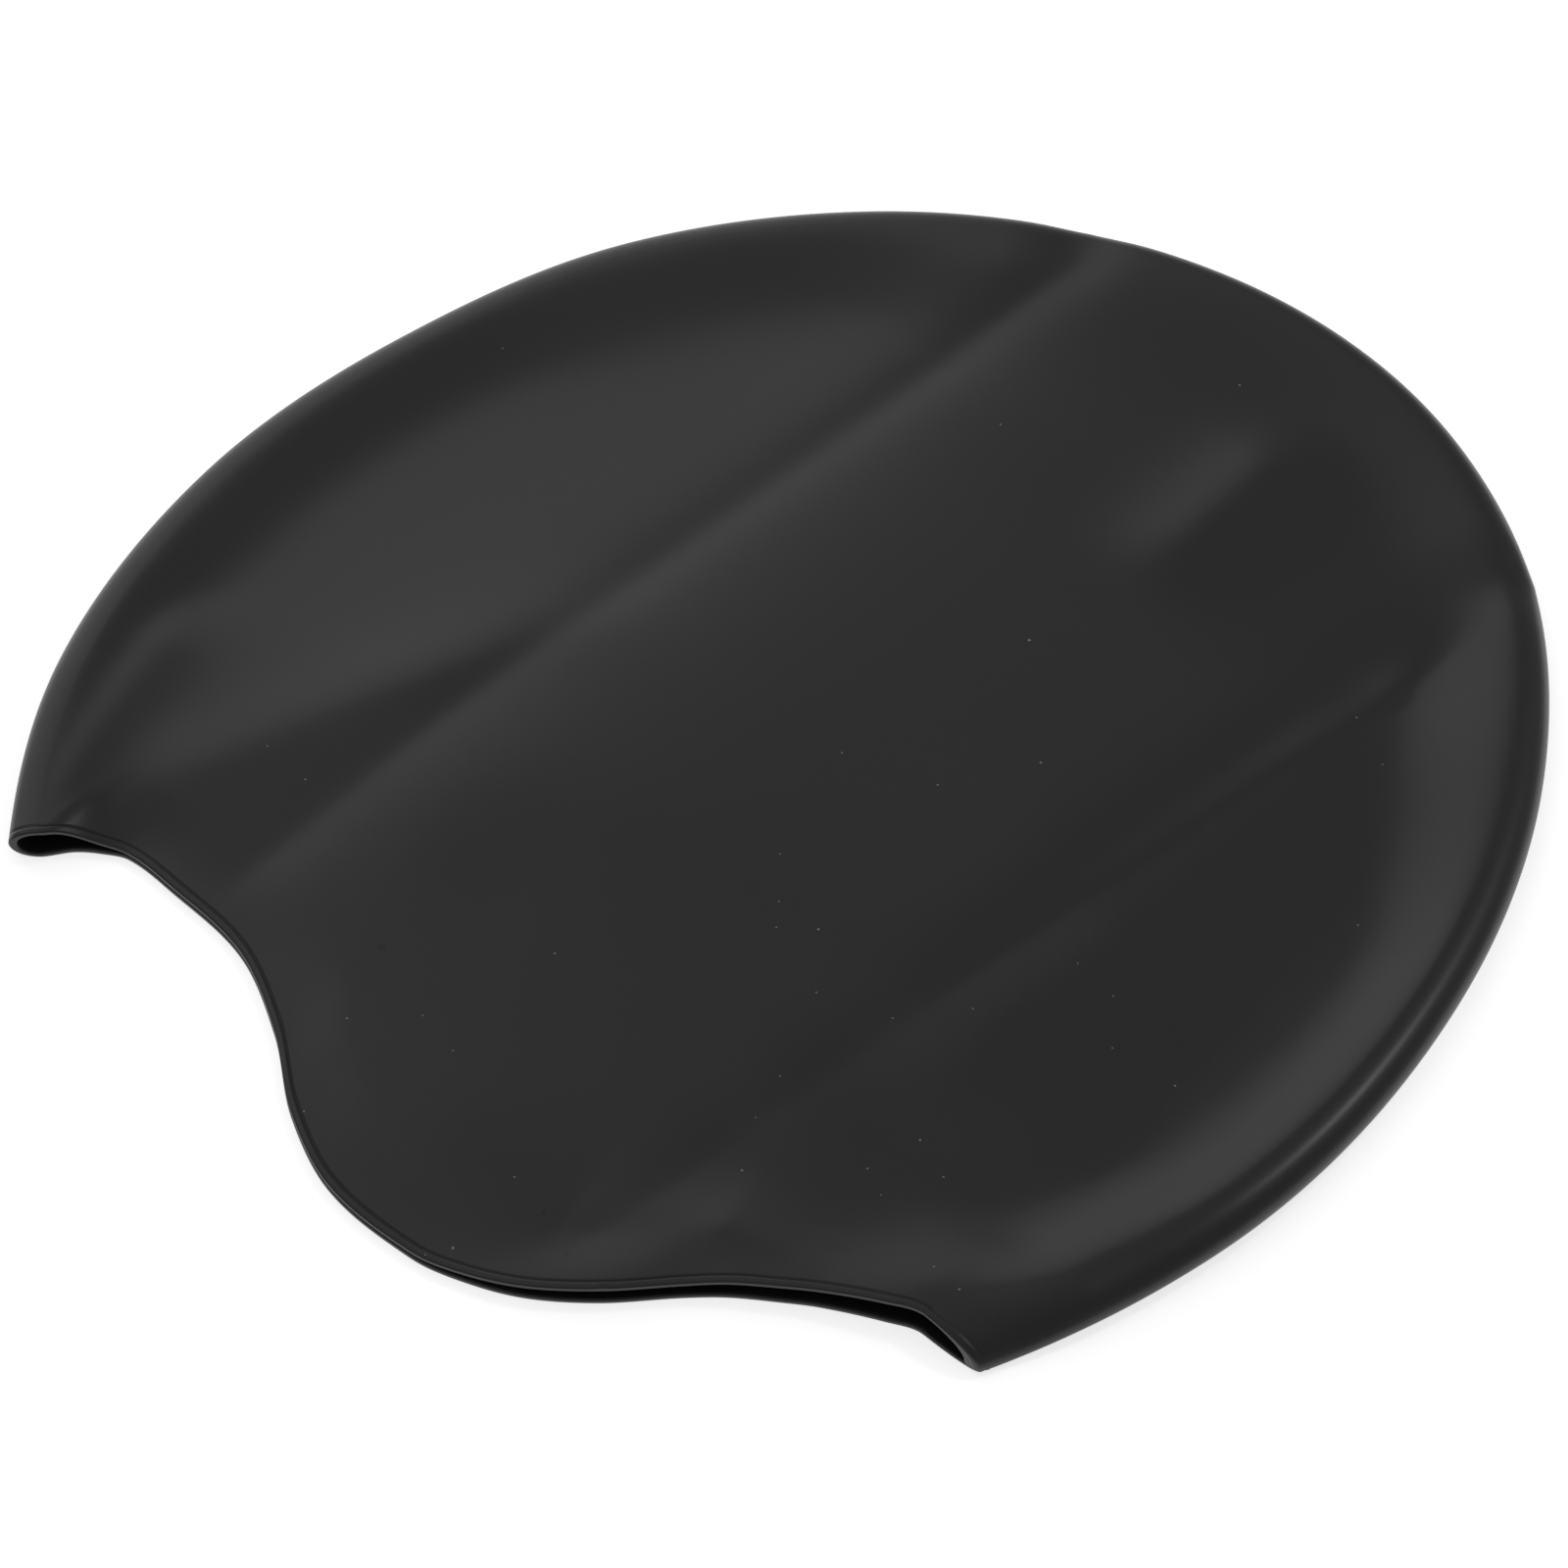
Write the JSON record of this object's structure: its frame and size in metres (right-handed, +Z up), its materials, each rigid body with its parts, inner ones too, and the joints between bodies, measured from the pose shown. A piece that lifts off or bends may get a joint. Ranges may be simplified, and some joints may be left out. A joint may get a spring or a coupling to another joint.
{
  "type": "swim cap",
  "caption": "Black silicone swim cap with ear lobes, lying flat on its side; pulled over the head to keep hair and ears covered.",
  "frame": {"origin": "middle of the cap's outline on the surface that it lies on", "axes": "+Z up from the surface, +Y from the ear lobe to the crown, +X from the forehead to the nape"},
  "size_m": [0.2264, 0.245, 0.0072],
  "materials": {
    "silicone": "matt moulded black silicone with fine dust and light scuffs"
  },
  "bodies": {
    "root": {"cap": "silicone"}
  },
  "joints": []
}
